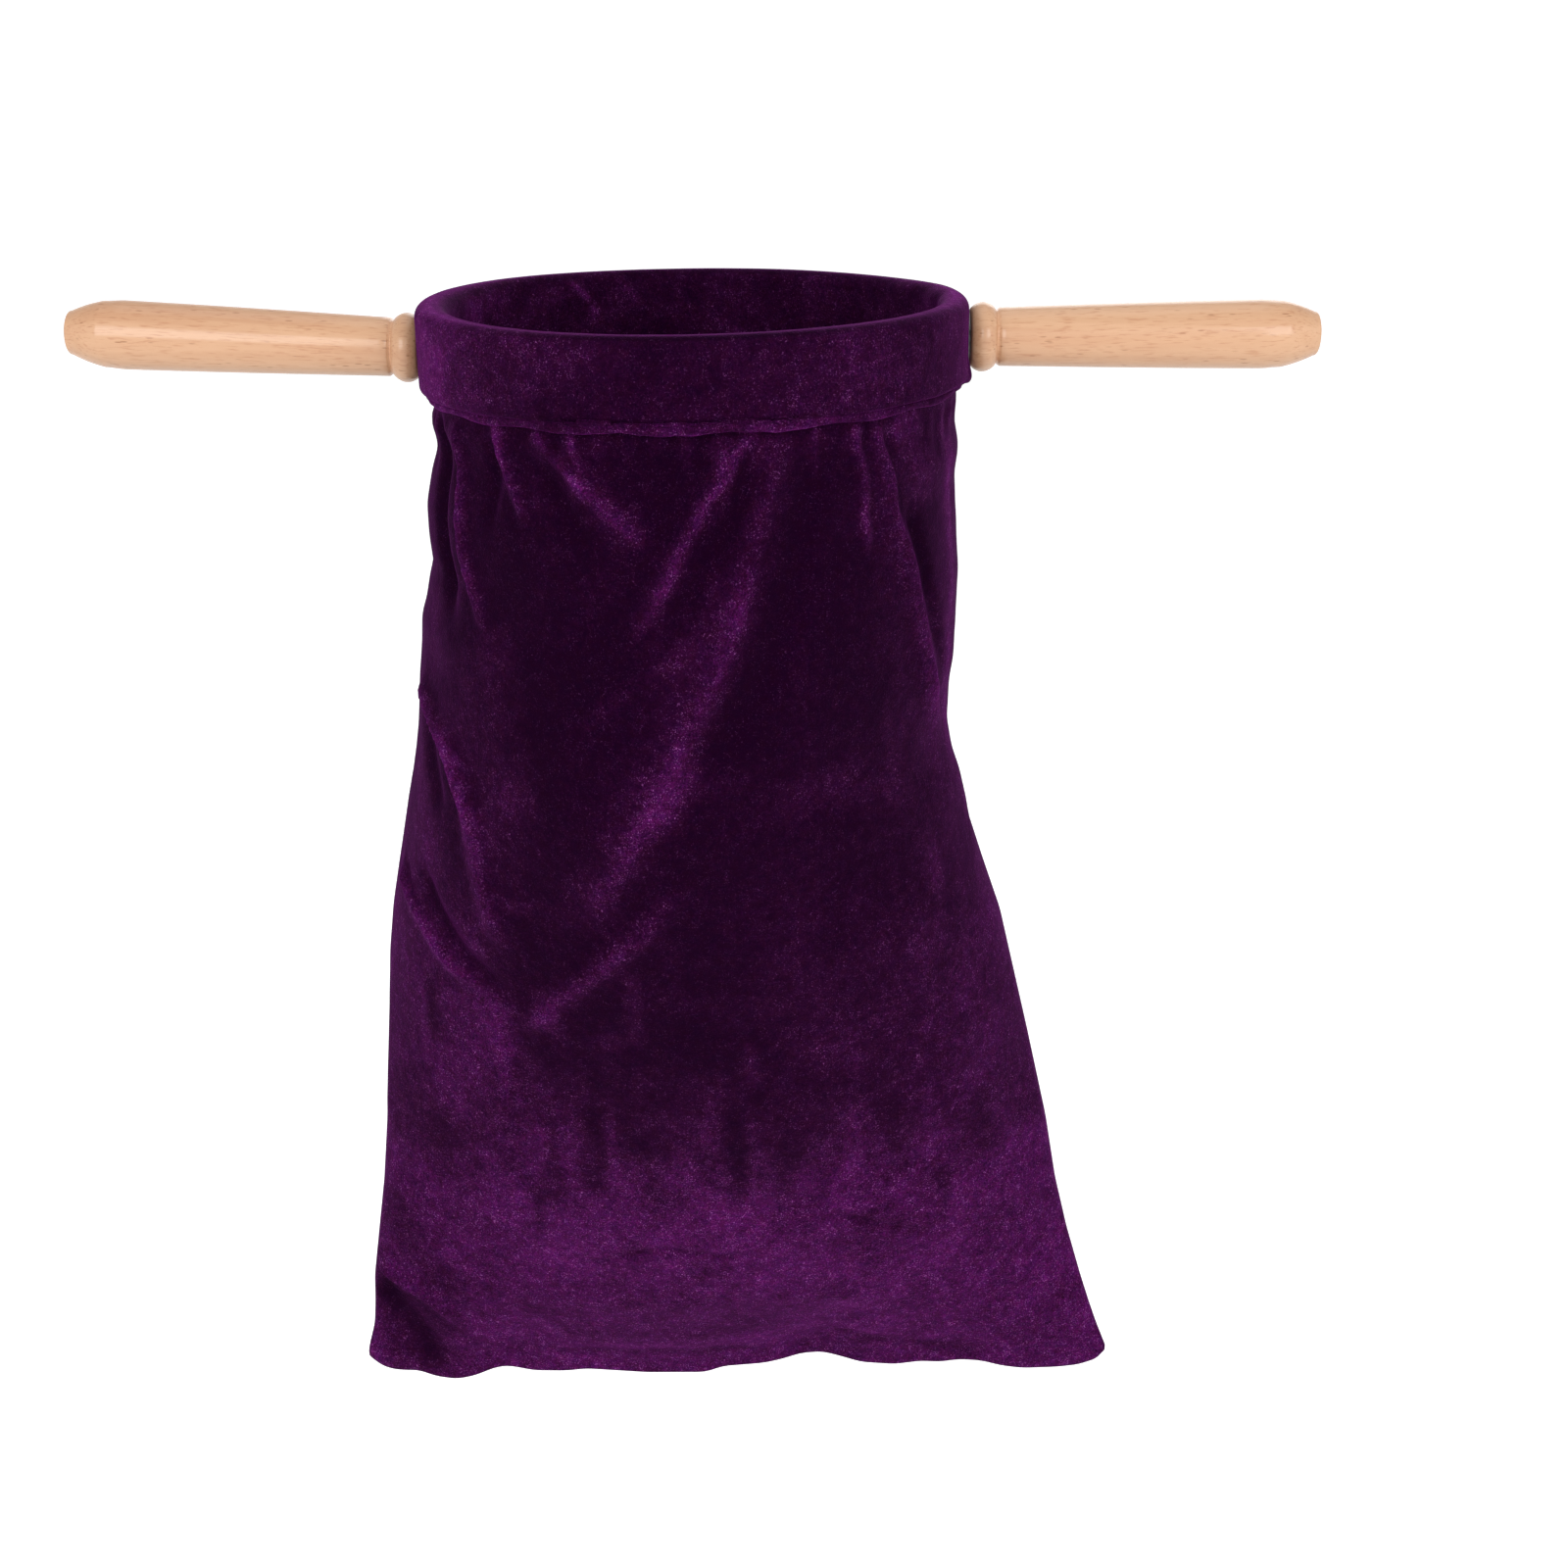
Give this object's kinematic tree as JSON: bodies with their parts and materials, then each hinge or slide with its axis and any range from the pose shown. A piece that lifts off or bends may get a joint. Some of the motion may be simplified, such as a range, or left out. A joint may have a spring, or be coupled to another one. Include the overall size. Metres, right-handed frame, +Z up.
{
  "type": "offertory bag",
  "caption": "Velvet collection bag gathered onto a round wooden hoop, open at the top for offerings and carried level between turned wooden handles.",
  "frame": {"origin": "centre of the hoop, on the line from hand to hand", "axes": "+X along the handles towards the right-hand one, +Z up out of the bag's mouth, -Y out of the front panel"},
  "size_m": [0.3504, 0.1622, 0.3601],
  "materials": {
    "bag_velvet": "matte",
    "rim_velvet": "matte",
    "handle_beech": "satin",
    "hoop_beech": "matte",
    "screw_zinc": "satin",
    "sewing_thread": "satin"
  },
  "bodies": {
    "hoop_frame": {"hoop": "hoop_beech", "rim_sleeve": "rim_velvet", "left_handle": "handle_beech", "right_handle": "handle_beech", "left_handle_screw": "screw_zinc", "right_handle_screw": "screw_zinc", "rim_seam_thread": "sewing_thread", "sleeve_end_thread": "sewing_thread"},
    "bag": {"front_panel": "bag_velvet", "back_panel": "bag_velvet", "left_seam_thread": "sewing_thread", "right_seam_thread": "sewing_thread", "bottom_seam_thread": "sewing_thread"}
  },
  "joints": [
    {"name": "bag_swing", "type": "hinge", "parent": "hoop_frame", "child": "bag", "pos_m": [0, 0, 0], "axis": [1, 0, 0], "range_deg": [-30, 30], "deforming": ["front_panel", "back_panel"]}
  ]
}
